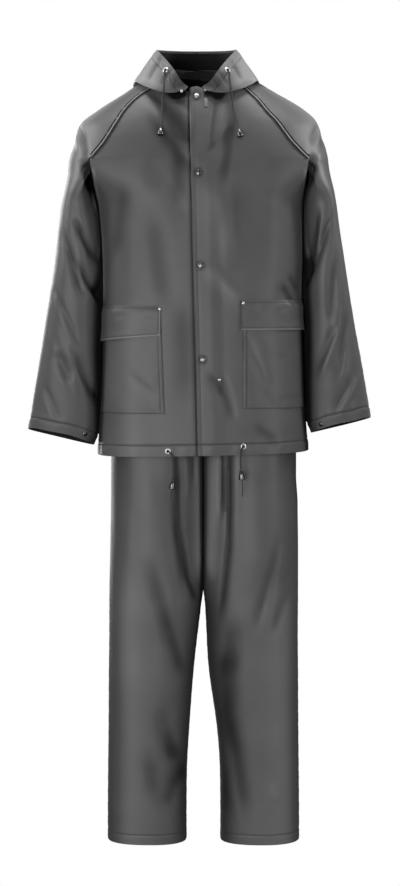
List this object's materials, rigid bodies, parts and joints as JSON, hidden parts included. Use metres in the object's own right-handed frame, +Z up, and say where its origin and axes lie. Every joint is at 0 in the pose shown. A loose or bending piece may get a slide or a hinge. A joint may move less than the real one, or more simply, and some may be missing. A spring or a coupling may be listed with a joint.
{
  "type": "rain suit",
  "caption": "Hooded raglan-sleeved rain jacket over straight rain trousers, in the hollow form that a standing wearer gives them.",
  "frame": {"origin": "between the shoulders at the height of the neck seam, on the middle plane, where a wearer's shoulders hold the jacket", "axes": "+Z up, the closing faces -Y, +X to the wearer's left"},
  "size_m": [0.6794, 0.3283, 1.5868],
  "materials": {
    "coated_cloth": "smooth satin polyurethane-coated woven cloth",
    "nickel": "bright nickel-plated",
    "cord": "round braided",
    "cord_end": "dark, smooth"
  },
  "bodies": {
    "root": {"cord_end_hem_left": "cord_end", "cord_end_hem_right": "cord_end", "cord_end_hood_left": "cord_end", "cord_end_hood_right": "cord_end", "cord_hem_left": "cord", "cord_hem_right": "cord", "cord_hood_left": "cord", "cord_hood_right": "cord", "eyelet_hem_left": "nickel", "eyelet_hem_right": "nickel", "eyelet_hood_left": "nickel", "eyelet_hood_right": "nickel", "flap_left": "coated_cloth", "flap_right": "coated_cloth", "hood_left": "coated_cloth", "hood_right": "coated_cloth", "jacket_back": "coated_cloth", "jacket_front_left": "coated_cloth", "jacket_front_right": "coated_cloth", "neck_loop": "coated_cloth", "pocket_left": "coated_cloth", "pocket_right": "coated_cloth", "raglan_welt_left_back": "coated_cloth", "raglan_welt_left_front": "coated_cloth", "raglan_welt_right_back": "coated_cloth", "raglan_welt_right_front": "coated_cloth", "rivet_flap_left": "nickel", "rivet_flap_right": "nickel", "rivet_front": "nickel", "rivet_neck_left": "nickel", "rivet_neck_right": "nickel", "sleeve_left_back": "coated_cloth", "sleeve_left_front": "coated_cloth", "sleeve_right_back": "coated_cloth", "sleeve_right_front": "coated_cloth", "snap_cuff_left": "nickel", "snap_cuff_right": "nickel", "snap_front_1": "nickel", "snap_front_2": "nickel", "snap_front_3": "nickel", "snap_front_4": "nickel", "trouser_left_back": "coated_cloth", "trouser_left_front": "coated_cloth", "trouser_right_back": "coated_cloth", "trouser_right_front": "coated_cloth", "waist_casing": "coated_cloth"}
  },
  "joints": []
}
